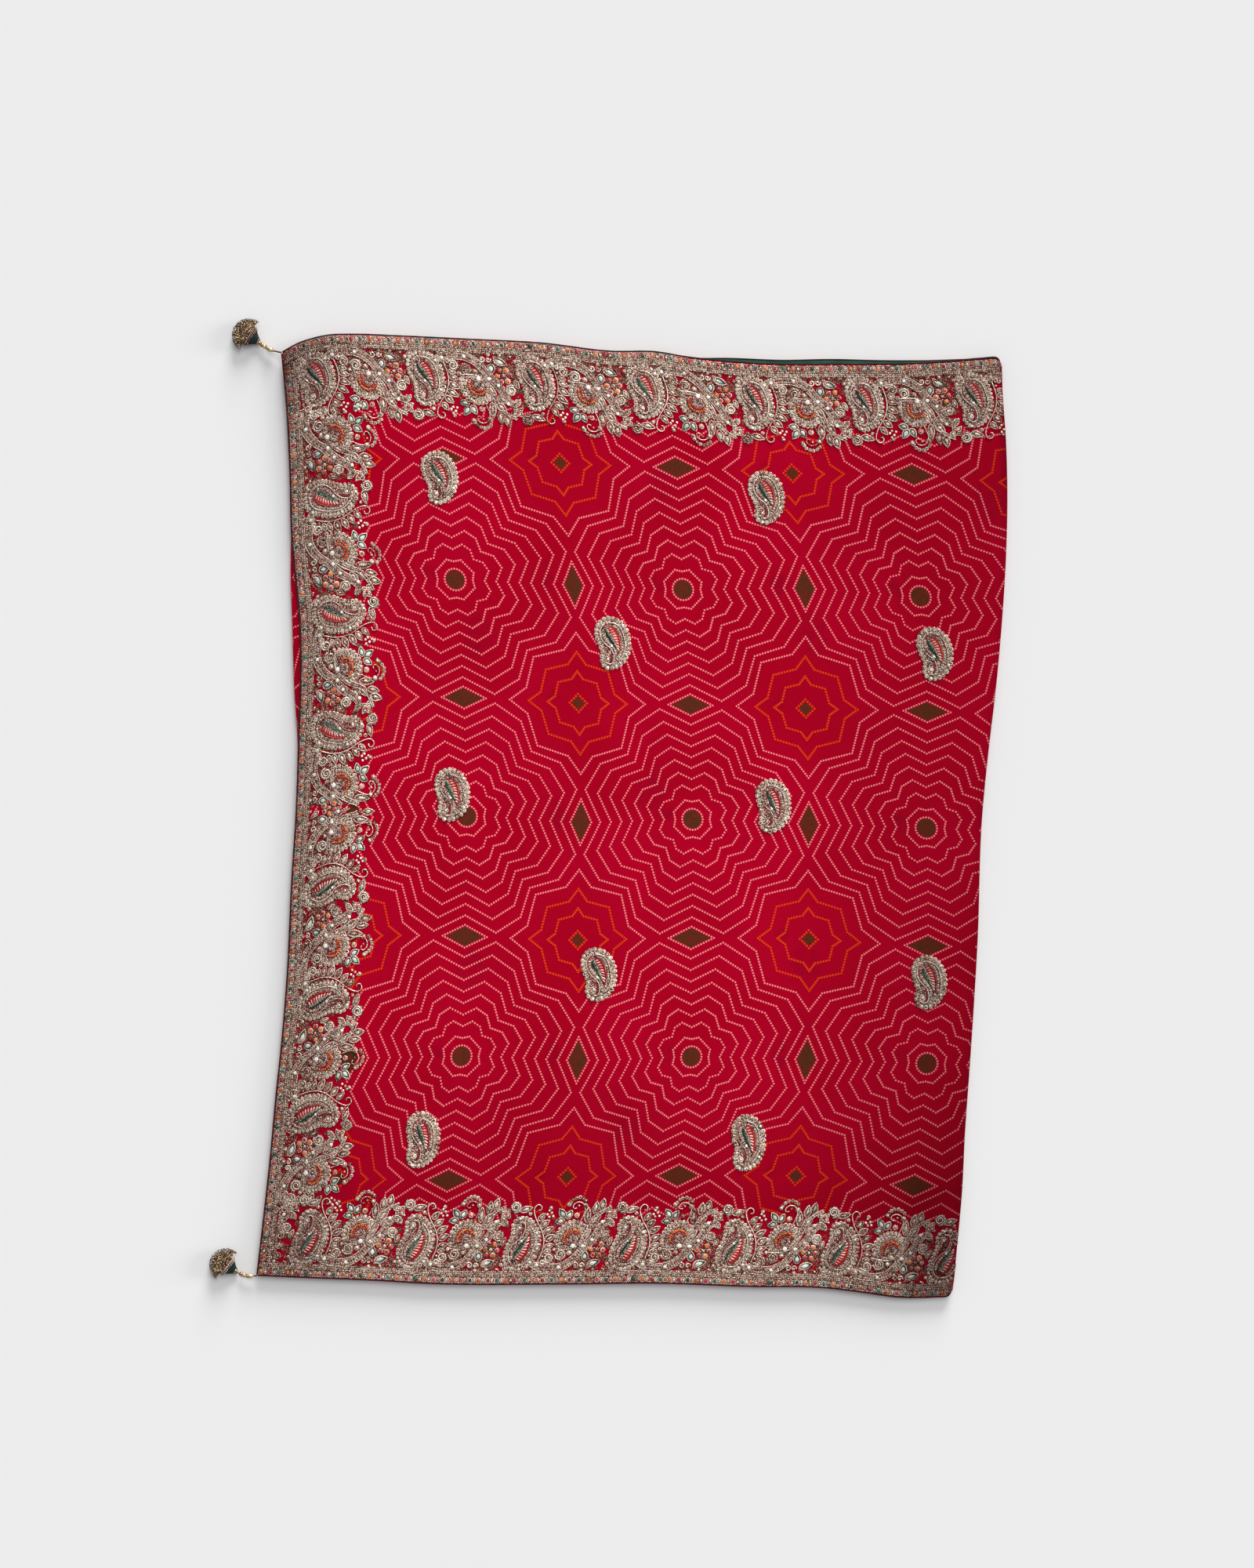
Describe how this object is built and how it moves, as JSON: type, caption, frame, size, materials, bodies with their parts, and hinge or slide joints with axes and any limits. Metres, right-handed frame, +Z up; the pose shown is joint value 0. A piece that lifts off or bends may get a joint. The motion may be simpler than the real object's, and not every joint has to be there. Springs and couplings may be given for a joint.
{
  "type": "folded bandhani saree",
  "caption": "Tie-dyed saree folded back and forth and laid flat, with embroidered borders, raised paisleys and a beaded tassel at each corner of its pallu end.",
  "frame": {"origin": "middle of the bounding box in plan, on the surface that the saree lies on", "axes": "+X along the cloth's length from the pallu end to the fold, +Y across its width, +Z up out of the folded pile"},
  "size_m": [0.9692, 1.1894, 0.0183],
  "materials": {
    "georgette": "crimson crepe georgette with a tied and dyed dot pattern",
    "backing": "dark green napped cloth",
    "embroidery": "metal thread embroidery with beads, stones and sequins",
    "braid": "metal braid with a row of small coloured stones",
    "binding": "thin dark satin binding",
    "gold": "polished gold-coloured beads and stone settings",
    "beads": "copper and pearl-grey seed beads"
  },
  "bodies": {
    "root": {"top_stretch": "georgette", "second_stretch": "georgette", "folded_stretches": "georgette", "second_backing": "backing", "border_top": "embroidery", "border_end": "embroidery", "border_bottom": "embroidery", "gem_strip_top": "braid", "gem_strip_end": "braid", "gem_strip_bottom": "braid", "piping_top": "binding", "piping_end": "binding", "piping_bottom": "binding", "piping_second": "binding", "paisley_01": "embroidery", "paisley_02": "embroidery", "paisley_03": "embroidery", "paisley_04": "embroidery", "paisley_05": "embroidery", "paisley_06": "embroidery", "paisley_07": "embroidery", "paisley_08": "embroidery", "paisley_09": "embroidery", "paisley_10": "embroidery", "tassel_top_cone": "backing", "tassel_top_rim": "gold", "tassel_top_strands": "beads", "tassel_top_cord": "gold", "tassel_bottom_cone": "backing", "tassel_bottom_rim": "gold", "tassel_bottom_strands": "beads", "tassel_bottom_cord": "gold"}
  },
  "joints": []
}
